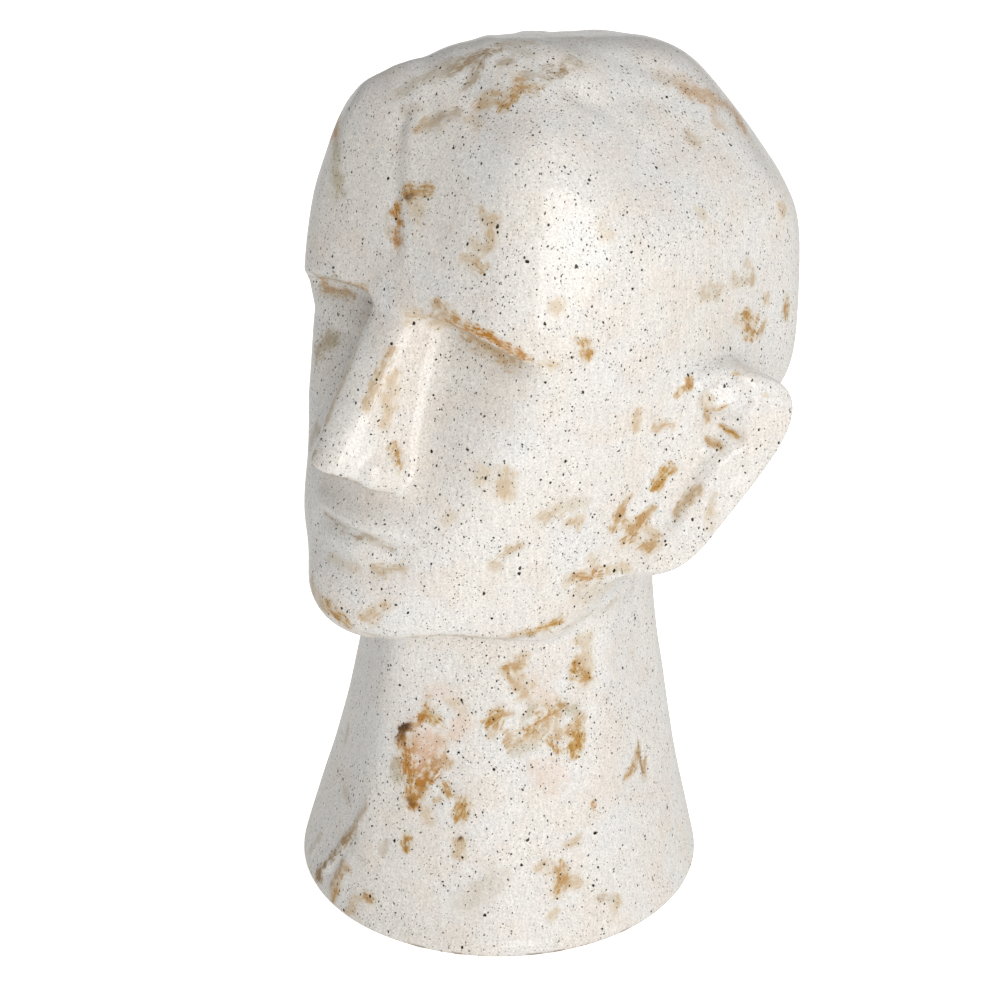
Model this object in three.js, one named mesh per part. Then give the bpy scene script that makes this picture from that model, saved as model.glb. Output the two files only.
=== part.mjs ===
// Head sculpture: a bald, faceted head on a flared neck that is also its foot, cast as one piece.
// Millimetres. +Z is up, the face looks along -Y, the sculpture's left ear is on +X,
// and the origin is the centre of the flat underside.
//
// The form is a field over space, below zero inside the clay. Flat cuts of a paddle give the
// skull, jaw and neck their planes, and the edges between the planes are softened.

import * as THREE from 'three';
import { mergeVertices } from 'three/addons/utils/BufferGeometryUtils.js';

const { degToRad, radToDeg, clamp } = THREE.MathUtils;

// Neck: a circle at the foot that turns into soft facets towards the top
const neck = {
  foot: 90, // radius of the foot
  top: 60.5, // reach of the facets under the jaw
  flare: 1.45, // how late the neck spreads out
  height: 150, // where the neck goes into the head
  lean: 7, // how far its top stands behind its foot
  leanEnd: 1.5, // share of the height up to which it goes on leaning, inside the head
  facetsWhole: 1 / 6, // share of the height, from the top down, where the facets are whole
  rounding: 4, // softness of the edges between the facets
  facets: [30, 55, 106, 150], // turn of each facet from the front, on both sides
  edge: 4, // softness of the edge around the underside
  blend: 4, // softness of the crease under the jaw
  cap: 230, // height where it ends inside the head
  capBlend: 10,
  slope: 0.9, // the flare's field rises faster than distance, so it is scaled by this
};

// Head: its own frame has z up from chin to crown and its zero halfway
const head = {
  centre: new THREE.Vector3(0, 28, 256),
  tilt: 9, // how far the chin is raised
  rounding: 4.8, // softness of the edges between the planes
};

// Planes of the skull and the jaw: [turn from the front to the ear, lift above level, reach],
// angles in degrees
const headPlanes = {
  crown: [180, 87, 120.5],
  crownFront: [0, 52, 122.5],
  crownBack: [180, 50, 124.5],
  crownSide: [90, 50, 108.5],
  crownCorner: [140, 42, 116],
  forehead: [0, 14, 101],
  temple: [50, 12, 109],
  side: [96, 3, 88.5],
  sideBack: [140, 6, 109],
  back: [180, 4, 117],
  nape: [180, -42, 104],
  napeSide: [125, -35, 98],
  face: [0, 0, 96],
  frontCheek: [25, -3, 106],
  cheek: [60, -10, 97],
  jawSide: [85, -9, 88],
  jawUnder: [0, -84, 128],
};

// Eye hollows: a sloping back plane under a crisp brow that arches over it
const brow = {
  height: 20,
  slope: 0.05,
  arch: 0.0025,
  archAt: 34, // distance of the arch's top from the middle
  underside: 20, // slope of the brow's underside
  front: 94,
  back: [5, 17, 79],
  edge: 3, // softness of the brow's edge
  cheek: 20, // softness of the hollow's lower edge
  change: 20, // distance over which one softness turns into the other
  corner: 4, // softness of the corner between the back plane and the brow
};

const nose = {
  planes: { ridge: [0, 28, 90], side: [68, 8, 47], underside: [0, -75, 80] },
  depth: 50, // where its block ends inside the head
  rounding: 2.5,
  blend: 7,
};

// Rounded pads of clay: centre and half sizes in the head's frame
const muzzle = { centre: [0, -74, -79], size: [40, 26, 34], blend: 16 };
const chin = { centre: [0, -84, -110], size: [27, 20, 18], blend: 16 };
const upperLip = { centre: [0, -94, -73], size: [27, 12, 6], blend: 2.5 };
const nostril = { centre: [13.5, -101, -48], size: [6.5, 11, 8], blend: 4 };
const lowerLip = { centre: [0, -93.5, -84.5], size: [22, 12, 8], blend: 2.5 };

// Ear: a slab cut by planes, a bowl and a groove down to the jaw
const ear = {
  planes: {
    face: [58, 0, 85],
    rear: [180, -26, 38.5],
    tip: [180, 4, 32.5],
    rearTop: [180, 44, 21.5],
    top: [180, 82, 8],
    frontTop: [0, 72, 5],
    lobeRear: [180, -44, 63],
    lobe: [180, -74, 84.5],
    front: [35, 0, 59],
  },
  inside: 60, // where the slab ends inside the head
  rounding: 3.2,
  blend: 5,
  bowl: { start: [107, 0, -6], end: [103, -1, -23], radius: 9, blend: 6 },
  groove: { start: [100, -4, -26], end: [81, -25, -84], radius: 4.5, blend: 9 },
};

// Grid of the surface: rows from the underside's middle up to the crown, columns around it
const grid = {
  columns: 84,
  underRows: 2, // rows on the underside
  neckRows: 10, // rows on the neck, below the head's
  headRows: 45,
  neckTop: 110, // height where the head's rows begin
  rayHeight: 60, // height over the underside's middle from which its rays fan out
  relaxing: 4, // rounds that even out the spacing
  relaxFrom: 3, // rows above the underside where that begins
  pull: 0.6, // share of the way to the neighbours' middle in one round
  insideEdge: 1.25, // where the underside's rays end, inside the foot, in softnesses of its edge
  crownWay: new THREE.Vector3(0, 0.12, 1).normalize(), // from the head's centre to the last row
  level: 0.01, // points of the underside this near to zero are on it
  merge: 1e-3, // points closer than this are one
};

// Rays start outside and walk in by a share of the distance that the field gives
const walk = { start: 240, steps: 70, stride: 0.8 };
const probe = 0.5; // reach of the four points that give a direction
const tiny = 1e-9;

// Where columns and rows stand closer: [place, width, how much]
const closerColumns = [[0, 26, 1.6], [97, 15, 2.6], [263, 15, 2.6], [360, 26, 1.6]]; // degrees
const closerRows = [[0.36, 0.2, 1.6]]; // share of the way from the neck to the crown

// Columns lean with the ear's rear edge: degrees, around the head and above level
// and the lean fades in from the first row and out towards the last
const columnLean = { at: 97, width: 34, most: 7.5, level: -22, span: 17, fadeIn: 1 / 4, fadeOut: 1 / 3 };

// Largest of the values, with the change from one to the next softened over r
function softMax(values, r) {
  const most = Math.max(...values);
  return most + r * Math.log(values.reduce((sum, value) => sum + Math.exp((value - most) / r), 0));
}

// Larger of two values, with a fillet of width k where they meet
function blendMax(a, b, k) {
  const overlap = Math.max(k - Math.abs(a - b), 0) / k;
  return Math.max(a, b) + overlap * overlap * k / 4;
}

function blendMin(a, b, k) {
  return -blendMax(-a, -b, k);
}

// A flat cut faces out from the front, turned towards the ear and lifted above level
function makeCut([turn, lift, reach]) {
  const [t, l] = [degToRad(turn), degToRad(lift)];
  const out = new THREE.Vector3(Math.sin(t) * Math.cos(l), -Math.cos(t) * Math.cos(l), Math.sin(l));
  return { out, reach };
}

function pastCut(cut, p) {
  return cut.out.dot(p) - cut.reach;
}

// Rough distance to an ellipsoid
function pastPad({ centre, size }, p) {
  const x = (p.x - centre[0]) / size[0];
  const y = (p.y - centre[1]) / size[1];
  const z = (p.z - centre[2]) / size[2];
  const near = Math.hypot(x, y, z) + tiny;
  return near * (near - 1) / (Math.hypot(x / size[0], y / size[1], z / size[2]) + tiny);
}

// Distance to a round bar
function pastRod({ start, end, radius }, p) {
  const line = new THREE.Line3(new THREE.Vector3(...start), new THREE.Vector3(...end));
  return line.closestPointToPoint(p, true, new THREE.Vector3()).distanceTo(p) - radius;
}

const skullCuts = Object.values(headPlanes).map(makeCut);
const hollowBack = makeCut(brow.back);
const noseCuts = Object.values(nose.planes).map(makeCut);
const earCuts = Object.values(ear.planes).map(makeCut);

// Brow and eye hollow: the clay in front of the back plane and below the brow goes
function hollowOut(clay, p) {
  const under = degToRad(brow.underside);
  const browLine = brow.height - brow.slope * p.x - brow.arch * (p.x - brow.archAt) ** 2;
  const belowBrow = (browLine - p.z) * Math.cos(under) - (p.y + brow.front) * Math.sin(under);
  const back = pastCut(hollowBack, p);
  const lower = clamp((belowBrow - back) / brow.change, 0, 1);
  const softness = brow.edge + (brow.cheek - brow.edge) * lower;
  return blendMax(clay, blendMin(back, belowBrow, brow.corner), softness);
}

function addPad(clay, pad, p) {
  return blendMin(clay, pastPad(pad, p), pad.blend);
}

function scoop(clay, rod, p) {
  return blendMax(clay, -pastRod(rod, p), rod.blend);
}

function addNose(clay, p) {
  const wedge = softMax(noseCuts.map((cut) => pastCut(cut, p)), nose.rounding);
  return addPad(blendMin(clay, Math.max(wedge, p.y + nose.depth), nose.blend), nostril, p);
}

function addEar(clay, p) {
  const slab = softMax(earCuts.map((cut) => pastCut(cut, p)), ear.rounding);
  const joined = blendMin(clay, Math.max(slab, ear.inside - p.x), ear.blend);
  return scoop(scoop(joined, ear.bowl, p), ear.groove, p);
}

// Head, alike on both sides, for a point in its own frame
function headField(p) {
  let clay = softMax(skullCuts.map((cut) => pastCut(cut, p)), head.rounding);
  clay = hollowOut(clay, p);
  for (const pad of [muzzle, chin, upperLip, lowerLip]) clay = addPad(clay, pad, p);
  return addEar(addNose(clay, p), p);
}

// Point in the head's frame, moved to the left half
function toHead(p) {
  const q = p.clone().sub(head.centre).applyAxisAngle(new THREE.Vector3(1, 0, 0), degToRad(head.tilt));
  q.x = Math.abs(q.x);
  return q;
}

function neckField(p) {
  const down = clamp(1 - p.z / neck.height, 0, 1);
  const reach = neck.top + (neck.foot - neck.top) * down ** neck.flare;
  const y = p.y - neck.lean * clamp(p.z / neck.height, 0, neck.leanEnd);
  const sides = neck.facets.flatMap((turn) => [degToRad(turn), -degToRad(turn)]);
  const faceted = softMax(sides.map((t) => p.x * Math.sin(t) - y * Math.cos(t)), neck.rounding);
  const circle = Math.hypot(p.x, y);
  const roundness = clamp((down - neck.facetsWhole) / (1 - neck.facetsWhole), 0, 1);
  const wall = faceted * (1 - roundness) + circle * roundness - reach;
  return blendMax(neck.slope * wall, p.z - neck.cap, neck.capBlend);
}

// Whole sculpture: below zero inside the clay, zero on its surface
function clayField(p) {
  const body = blendMin(headField(toHead(p)), neckField(p), neck.blend);
  return blendMax(body, -p.z, neck.edge);
}

// Walks in from outside along a direction until the surface is met
function surfaceAlong(from, direction) {
  let distance = walk.start;
  const p = new THREE.Vector3();
  for (let step = 0; step < walk.steps; step++) {
    p.copy(direction).multiplyScalar(distance).add(from);
    distance -= walk.stride * clayField(p);
  }
  return p.copy(direction).multiplyScalar(distance).add(from);
}

// Direction away from the clay, from four points around p
function outward(p) {
  const total = new THREE.Vector3();
  for (const [x, y, z] of [[1, -1, -1], [-1, -1, 1], [-1, 1, -1], [1, 1, 1]]) {
    const side = new THREE.Vector3(x, y, z);
    total.addScaledVector(side, clayField(side.clone().multiplyScalar(probe).add(p)));
  }
  return total.normalize();
}

function bump(value, [place, width, height]) {
  return height * Math.exp(-(((value - place) / width) ** 2));
}

// Steps from 0 to 1, closer together where the bumps stand
function spread(count, bumps, unit) {
  const fine = 1440;
  const totals = [0];
  for (let n = 0; n < fine; n++) {
    const value = unit * (n + 0.5) / fine;
    totals.push(totals[n] + bumps.reduce((sum, one) => sum + bump(value, one), 1));
  }
  const steps = [];
  let n = 1;
  for (let i = 0; i <= count; i++) {
    const goal = totals[fine] * i / count;
    while (n < fine && totals[n] < goal) n++;
    steps.push((n - 1 + (goal - totals[n - 1]) / (totals[n] - totals[n - 1])) / fine);
  }
  return steps;
}

function neckAxis(z) {
  return new THREE.Vector3(0, neck.lean * z / neck.height, z);
}

// Underside: rays fan out from a point above its middle to just inside its edge
function undersidePoint(around, share) {
  const high = new THREE.Vector3(0, 0, grid.rayHeight);
  const aim = around.clone().multiplyScalar((neck.foot - grid.insideEdge * neck.edge) * share);
  return surfaceAlong(high, aim.sub(high).normalize());
}

// Neck: the rays level out on the way up from the foot
function neckPoint(around, share) {
  const z = grid.neckTop * share;
  const from = neckAxis(z).setZ(grid.rayHeight + (grid.neckTop - grid.rayHeight) * share);
  const radius = neck.foot + (neck.top - neck.foot) * share;
  const aim = around.clone().multiplyScalar(radius).setZ(z - from.z);
  return surfaceAlong(from, aim.normalize());
}

// Head: rays from its centre swing from the neck's last ring up to the crown
function headPoint(ringPoint, share) {
  const first = ringPoint.clone().sub(head.centre).normalize();
  const swing = new THREE.Quaternion().setFromUnitVectors(first, grid.crownWay);
  const way = first.applyQuaternion(new THREE.Quaternion().slerp(swing, share));
  const side = radToDeg(Math.atan2(Math.abs(way.x), -way.y));
  const rise = clamp((radToDeg(Math.asin(way.z)) - columnLean.level) / columnLean.span, -1, 1);
  const near = bump(side, [columnLean.at, columnLean.width, columnLean.most]);
  const ends = clamp(share / columnLean.fadeIn, 0, 1) * clamp((1 - share) / columnLean.fadeOut, 0, 1);
  const lean = Math.sign(way.x) * degToRad(rise * near * ends);
  return surfaceAlong(head.centre, way.applyAxisAngle(new THREE.Vector3(0, 0, 1), lean));
}

// Evens out the spacing along the surface and puts each point back on it
function relax(points, firstRow) {
  const moved = points.map((row) => row.map((p) => p.clone()));
  for (let i = firstRow; i < points.length - 1; i++) {
    for (let j = 0; j < grid.columns; j++) {
      const p = points[i][j];
      const left = points[i][(j + grid.columns - 1) % grid.columns];
      const right = points[i][(j + 1) % grid.columns];
      const middle = left.clone().add(right).add(points[i - 1][j]).add(points[i + 1][j]).divideScalar(4);
      const along = middle.sub(p).projectOnPlane(outward(p));
      const q = moved[i][j].addScaledVector(along, grid.pull);
      q.addScaledVector(outward(q), -clayField(q));
    }
  }
  return moved;
}

// All points of the surface, row by row
function surfacePoints() {
  const turns = spread(grid.columns, closerColumns, 360).slice(0, -1).map((share) => 2 * Math.PI * share);
  const ways = turns.map((turn) => new THREE.Vector3(Math.sin(turn), -Math.cos(turn), 0));
  const points = [];
  for (let i = 0; i <= grid.underRows; i++) {
    points.push(ways.map((around) => undersidePoint(around, i / grid.underRows)));
  }
  for (let i = 0; i <= grid.neckRows; i++) {
    points.push(ways.map((around) => neckPoint(around, i / grid.neckRows)));
  }
  const ring = ways.map((around) => surfaceAlong(neckAxis(grid.neckTop), around));
  for (const share of spread(grid.headRows, closerRows, 1).slice(1)) {
    points.push(ring.map((ringPoint) => headPoint(ringPoint, share)));
  }
  return points;
}

// The closed skin: a sphere's net of faces laid over the surface's points
function makeSkin() {
  let points = surfacePoints();
  for (let round = 0; round < grid.relaxing; round++) points = relax(points, grid.underRows + grid.relaxFrom);
  const rows = points.length - 1;
  const sphere = new THREE.SphereGeometry(1, grid.columns, rows);
  const { position, uv } = sphere.attributes;
  for (let n = 0; n < position.count; n++) {
    const row = Math.round(uv.getY(n) * rows);
    const column = n % (grid.columns + 1) % grid.columns;
    const p = row === 0 || row === rows ? points[row][0] : points[row][column];
    position.setXYZ(n, p.x, p.y, Math.abs(p.z) < grid.level ? 0 : p.z);
  }
  sphere.deleteAttribute('normal');
  sphere.deleteAttribute('uv');
  return mergeVertices(sphere, grid.merge);
}

const glaze = new THREE.MeshStandardMaterial({ color: 0xe8e2d8, roughness: 0.22, metalness: 0 });

const sculpture = new THREE.Group();
const headSculpture = new THREE.Mesh(makeSkin(), glaze);
headSculpture.name = 'head_sculpture';
sculpture.add(headSculpture);

export default sculpture;
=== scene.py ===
import bpy
import numpy as np
from mathutils import Matrix, Vector


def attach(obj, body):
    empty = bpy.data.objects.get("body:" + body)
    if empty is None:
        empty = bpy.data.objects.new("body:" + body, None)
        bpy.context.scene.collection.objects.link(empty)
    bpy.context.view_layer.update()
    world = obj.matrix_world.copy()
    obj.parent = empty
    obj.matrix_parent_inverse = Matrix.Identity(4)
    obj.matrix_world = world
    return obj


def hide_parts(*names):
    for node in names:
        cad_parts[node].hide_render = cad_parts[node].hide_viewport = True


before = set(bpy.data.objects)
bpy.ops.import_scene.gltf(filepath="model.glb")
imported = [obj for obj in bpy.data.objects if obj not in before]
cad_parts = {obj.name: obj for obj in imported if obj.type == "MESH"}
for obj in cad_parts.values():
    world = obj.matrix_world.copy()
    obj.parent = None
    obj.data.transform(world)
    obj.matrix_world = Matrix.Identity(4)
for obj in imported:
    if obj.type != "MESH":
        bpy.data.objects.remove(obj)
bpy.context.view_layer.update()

metre = 1000.0
tiny = 1e-9  # keeps a division from failing at zero

# Camera
view = {
    "turn": 45.0,  # round from the face towards the sculpture's left ear
    "lift": 27.2,  # above level
    "distance": 1300.0,  # from the eye to the point it looks at
    "aimSide": 0.5,
    "aimHeight": 177.1,
    "focal": 3014.8,  # pixels
    "picture": 1000.0,  # side of the square picture, pixels
    "sensor": 36.0,
    "nearest": 50.0,  # nothing closer is seen
}


# Right, up and back (towards the eye) for a turn round the sculpture and a lift above level
def viewAxes(turn, lift):
    t, l = np.radians([turn, lift])
    back = np.array([np.sin(t) * np.cos(l), -np.cos(t) * np.cos(l), np.sin(l)])
    right = np.array([np.cos(t), np.sin(t), 0.0])
    return right, np.cross(back, right), back


viewRight, viewUp, viewBack = viewAxes(view["turn"], view["lift"])
viewAim = viewRight * view["aimSide"] + np.array([0, 0, view["aimHeight"]])
viewEye = viewAim + viewBack * view["distance"]


# Picture place of each point: middle + focal * (side, -height) / depth, and the depth
def toPicture(points):
    d = points - viewEye
    depth = -(d @ viewBack)
    middle = view["picture"] / 2
    across = middle + view["focal"] * (d @ viewRight) / depth
    down = middle - view["focal"] * (d @ viewUp) / depth
    return across, down, depth


# Puts a thing in its place, with its own axes along right, up and back
def placeObject(thing, right, up, back, place):
    turned = Matrix(np.column_stack([right, up, back]).tolist()).to_4x4()
    thing.matrix_world = Matrix.Translation(Vector(place / metre)) @ turned


cameraData = bpy.data.cameras.new("camera")
cameraData.sensor_width = view["sensor"]
cameraData.lens = view["focal"] / view["picture"] * view["sensor"]
cameraData.clip_start = view["nearest"] / metre
camera = bpy.data.objects.new("camera", cameraData)
bpy.context.scene.collection.objects.link(camera)
placeObject(camera, viewRight, viewUp, viewBack, viewEye)
bpy.context.scene.camera = camera
print("camera made")

# Form: the same field as the solid's, below zero inside the clay
neck = {
    "foot": 90, "top": 60.5, "flare": 1.45, "height": 150,
    "lean": 7, "leanEnd": 1.5,  # it leans on up to this share of its height, inside the head
    "facets": [30, 55, 106, 150], "facetsWhole": 1 / 6,  # share from the top where they are whole
    "rounding": 4, "edge": 4, "blend": 4,
    "cap": 230, "capBlend": 10,  # where it ends inside the head
    "slope": 0.9,  # the flare's field rises faster than distance
}
head = {"centre": (0, 28, 256), "tilt": 9, "rounding": 4.8}
# Planes of the skull and the jaw: turn from the front to the ear, lift above level, reach
headPlanes = {
    "crown": (180, 87, 120.5),
    "crownFront": (0, 52, 122.5),
    "crownBack": (180, 50, 124.5),
    "crownSide": (90, 50, 108.5),
    "crownCorner": (140, 42, 116),
    "forehead": (0, 14, 101),
    "temple": (50, 12, 109),
    "side": (96, 3, 88.5),
    "sideBack": (140, 6, 109),
    "back": (180, 4, 117),
    "nape": (180, -42, 104),
    "napeSide": (125, -35, 98),
    "face": (0, 0, 96),
    "frontCheek": (25, -3, 106),
    "cheek": (60, -10, 97),
    "jawSide": (85, -9, 88),
    "jawUnder": (0, -84, 128),
}
# Eye hollows: a sloping back plane under a crisp brow that arches over it
brow = {
    "height": 20, "slope": 0.05, "arch": 0.0025, "archAt": 34, "underside": 20,
    "front": 94, "back": (5, 17, 79), "edge": 3, "cheek": 20,
    "change": 20, "corner": 4,  # how fast edge turns into cheek, softness between back and brow
}
nose = {
    "planes": [(0, 28, 90), (68, 8, 47), (0, -75, 80)],  # ridge, side, underside
    "depth": 50, "rounding": 2.5, "blend": 7,
    "wing": ((13.5, -101, -48), (6.5, 11, 8), 4),  # centre, half sizes, blend
}
# Rounded pads of clay: centre, half sizes, blend
facePads = {
    "muzzle": ((0, -74, -79), (40, 26, 34), 16),
    "chin": ((0, -84, -110), (27, 20, 18), 16),
    "upperLip": ((0, -94, -73), (27, 12, 6), 2.5),
    "lowerLip": ((0, -93.5, -84.5), (22, 12, 8), 2.5),
}
# Ear: a slab cut by planes (face, rear, tip, top, lobe, front), a bowl and a groove down to the jaw
ear = {
    "planes": [(58, 0, 85), (180, -26, 38.5), (180, 4, 32.5), (180, 44, 21.5), (180, 82, 8), (0, 72, 5),
               (180, -44, 63), (180, -74, 84.5), (35, 0, 59)],
    "inside": 60, "rounding": 3.2, "blend": 5,
    "bowl": ((107, 0, -6), (103, -1, -23), 9, 6),  # start, end, radius, blend
    "groove": ((100, -4, -26), (81, -25, -84), 4.5, 9),
}


# Largest of the values, with the change from one to the next softened over r
def softMax(values, r):
    stacked = np.stack(values)
    most = stacked.max(0)
    return most + r * np.log(np.exp((stacked - most) / r).sum(0))


# Larger of two values, with a fillet of width k where they meet
def blendMax(a, b, k):
    overlap = np.clip(k - np.abs(a - b), 0, None) / k
    return np.maximum(a, b) + overlap * overlap * k / 4


# Smaller of two values, with the same fillet
def blendMin(a, b, k):
    return -blendMax(-a, -b, k)


# Distance past a flat cut that faces out, turned towards the ear and lifted above level
def pastCut(p, turn, lift, reach):
    t, l = np.radians([turn, lift])
    return p[0] * np.sin(t) * np.cos(l) - p[1] * np.cos(t) * np.cos(l) + p[2] * np.sin(l) - reach


# Rough distance to an ellipsoid: near * (near - 1) / steepness
def pastPad(p, centre, size):
    q = [(p[i] - centre[i]) / size[i] for i in range(3)]
    near = np.sqrt(q[0] ** 2 + q[1] ** 2 + q[2] ** 2) + tiny
    steepness = np.sqrt(sum((q[i] / size[i]) ** 2 for i in range(3))) + tiny
    return near * (near - 1) / steepness


# Distance to a round bar from start to end
def pastRod(p, start, end, radius):
    line = [end[i] - start[i] for i in range(3)]
    share = sum((p[i] - start[i]) * line[i] for i in range(3)) / sum(v * v for v in line)
    share = np.clip(share, 0, 1)
    return np.sqrt(sum((p[i] - start[i] - share * line[i]) ** 2 for i in range(3))) - radius


# Brow and eye hollow: the clay in front of the back plane and below the brow goes
def hollowOut(clay, p):
    under = np.radians(brow["underside"])
    browLine = brow["height"] - brow["slope"] * p[0] - brow["arch"] * (p[0] - brow["archAt"]) ** 2
    belowBrow = (browLine - p[2]) * np.cos(under) - (p[1] + brow["front"]) * np.sin(under)
    back = pastCut(p, *brow["back"])
    lower = np.clip((belowBrow - back) / brow["change"], 0, 1)
    softness = brow["edge"] + (brow["cheek"] - brow["edge"]) * lower
    return blendMax(clay, blendMin(back, belowBrow, brow["corner"]), softness)


# Head, alike on both sides, for points in its own frame
def headField(p):
    clay = softMax([pastCut(p, *plane) for plane in headPlanes.values()], head["rounding"])
    clay = hollowOut(clay, p)
    for centre, size, blend in facePads.values():
        clay = blendMin(clay, pastPad(p, centre, size), blend)
    wedge = softMax([pastCut(p, *plane) for plane in nose["planes"]], nose["rounding"])
    clay = blendMin(clay, np.maximum(wedge, p[1] + nose["depth"]), nose["blend"])
    wingCentre, wingSize, wingBlend = nose["wing"]
    clay = blendMin(clay, pastPad(p, wingCentre, wingSize), wingBlend)
    slab = softMax([pastCut(p, *plane) for plane in ear["planes"]], ear["rounding"])
    clay = blendMin(clay, np.maximum(slab, ear["inside"] - p[0]), ear["blend"])
    for start, end, radius, blend in (ear["bowl"], ear["groove"]):
        clay = blendMax(clay, -pastRod(p, start, end, radius), blend)
    return clay


# Points in the head's frame: moved to its centre and turned back by its tilt
def toHead(points):
    t = np.radians(head["tilt"])
    x, y, z = np.moveaxis(points - np.array(head["centre"], float), -1, 0)
    return x, y * np.cos(t) - z * np.sin(t), y * np.sin(t) + z * np.cos(t)


# Points of the world for points of the head's frame, where y is to the back and z to the crown
def fromHead(x, y, z):
    t = np.radians(head["tilt"])
    place = np.array([x, y * np.cos(t) + z * np.sin(t), z * np.cos(t) - y * np.sin(t)])
    return place + np.array(head["centre"], float)


# Neck and foot: reach = top + (foot - top) * (1 - z / height)^flare, with facets above that fade
# into a circle at the foot
def neckField(x, y, z):
    down = np.clip(1 - z / neck["height"], 0, 1)
    reach = neck["top"] + (neck["foot"] - neck["top"]) * down ** neck["flare"]
    y = y - neck["lean"] * np.clip(z / neck["height"], 0, neck["leanEnd"])
    turns = [side * np.radians(turn) for turn in neck["facets"] for side in (1, -1)]
    faceted = softMax([x * np.sin(t) - y * np.cos(t) for t in turns], neck["rounding"])
    roundness = np.clip((down - neck["facetsWhole"]) / (1 - neck["facetsWhole"]), 0, 1)
    wall = faceted * (1 - roundness) + np.hypot(x, y) * roundness - reach
    return blendMax(neck["slope"] * wall, z - neck["cap"], neck["capBlend"])


# Whole sculpture: below zero inside the clay, zero on its surface
def clayField(points):
    x, y, z = toHead(points)
    body = blendMin(headField((np.abs(x), y, z)), neckField(*np.moveaxis(points, -1, 0)), neck["blend"])
    return blendMax(body, -points[..., 2], neck["edge"])


probe = 0.5  # how far around a point the field is asked


# Direction away from the clay: the sum of four ways around each point, each times the field there
def outward(points):
    sides = np.array([[1, -1, -1], [-1, -1, 1], [-1, 1, -1], [1, 1, 1]], float)
    total = sum(clayField(points + probe * side)[..., None] * side for side in sides)
    return total / np.linalg.norm(total, axis=-1, keepdims=True)


# Surface grid: rows from the underside's middle up to the crown, columns around it
grid = {
    "columns": 336, "underRows": 15, "neckRows": 58, "headRows": 223,
    "neckTop": 110,  # height where the head's rows begin
    "rayHeight": 60,  # height over the underside's middle from which its rays fan out
    "insideEdge": 1.25,  # where they end inside the foot, in softnesses of its edge
    "crownWay": (0, 0.12, 1.0),  # from the head's centre to the last row
    "relaxing": 6, "pull": 0.6,  # rounds of evening out, share of the way in one round
    "relaxFrom": 5,  # rows above the underside's that stay as they are
    # where columns and rows stand closer: place, width, how much
    "closerColumns": [(0, 26, 1.6), (97, 15, 2.6), (263, 15, 2.6), (360, 26, 1.6)],
    "closerRows": [(0.36, 0.2, 1.6)],
    "fineSteps": 1440,  # steps in which that closeness is added up
    # columns lean with the ear, less by the first row and the last
    "lean": {
        "at": 97, "width": 34, "most": 7.5, "level": -22, "span": 17,
        "fadeIn": 1 / 4, "fadeOut": 1 / 3,
    },
}
# Rays start outside and walk in by a share of the distance that the field gives
walk = {"start": 240.0, "steps": 70, "stride": 0.8}


# Steps from 0 to 1, closer where 1 + sum of height * exp(-((value - place) / width)^2) is large
def spread(count, bumps, unit):
    fine = np.linspace(0, 1, grid["fineSteps"] + 1)
    density = np.ones(len(fine))
    for place, width, height in bumps:
        density += height * np.exp(-(((fine * unit - place) / width) ** 2))
    total = np.concatenate([[0], np.cumsum((density[1:] + density[:-1]) / 2)])
    return np.interp(np.linspace(0, 1, count + 1), total / total[-1], fine)


# Walks in from outside along each ray until the surface is met
def surfaceAlong(start, way):
    way = way / np.linalg.norm(way, axis=-1, keepdims=True)
    distance = np.full(way.shape[:-1], walk["start"])
    for _ in range(walk["steps"]):
        distance = distance - walk["stride"] * clayField(start + way * distance[..., None])
    return start + way * distance[..., None]


# Rays of the underside and the neck: they fan out from a point over the underside, then level out
def lowRays(around):
    foot = neck["foot"]
    starts, ways = [], []
    for share in np.linspace(0, 1, grid["underRows"] + 1):
        starts.append(np.array([0, 0, grid["rayHeight"]]))
        ways.append(around * (foot - grid["insideEdge"] * neck["edge"]) * share - starts[-1])
    for share in np.linspace(0, 1, grid["neckRows"] + 1):
        z = grid["neckTop"] * share
        level = grid["rayHeight"] + (grid["neckTop"] - grid["rayHeight"]) * share
        starts.append(np.array([0, neck["lean"] * z / neck["height"], level]))
        ways.append(around * (foot + (neck["top"] - foot) * share) + np.array([0, 0, z - level]))
    return starts, ways


# Rays of the head: from its centre they swing from the neck's last ring up to the crown
def headRays(around):
    centre = np.array(head["centre"], float)
    top = grid["neckTop"]
    ring = surfaceAlong(np.array([0, neck["lean"] * top / neck["height"], top]), around) - centre
    first = ring / np.linalg.norm(ring, axis=-1, keepdims=True)
    last = np.array(grid["crownWay"]) / np.linalg.norm(grid["crownWay"])
    swing = np.arccos(np.clip(first @ last, -1, 1))[:, None]
    lean = grid["lean"]
    starts, ways = [], []
    for share in spread(grid["headRows"], grid["closerRows"], 1)[1:]:
        way = (np.sin((1 - share) * swing) * first + np.sin(share * swing) * last) / np.sin(swing)
        rise = np.degrees(np.arcsin(np.clip(way[:, 2], -1, 1)))
        side = np.degrees(np.arctan2(np.abs(way[:, 0]), -way[:, 1]))
        near = lean["most"] * np.exp(-(((side - lean["at"]) / lean["width"]) ** 2))
        ends = np.clip(share / lean["fadeIn"], 0, 1) * np.clip((1 - share) / lean["fadeOut"], 0, 1)
        rise = np.clip((rise - lean["level"]) / lean["span"], -1, 1)
        t = np.sign(way[:, 0]) * np.radians(rise * near * ends)
        x, y, z = way.T
        ways.append(np.stack([x * np.cos(t) - y * np.sin(t), x * np.sin(t) + y * np.cos(t), z], -1))
        starts.append(centre)
    return starts, ways


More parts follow.
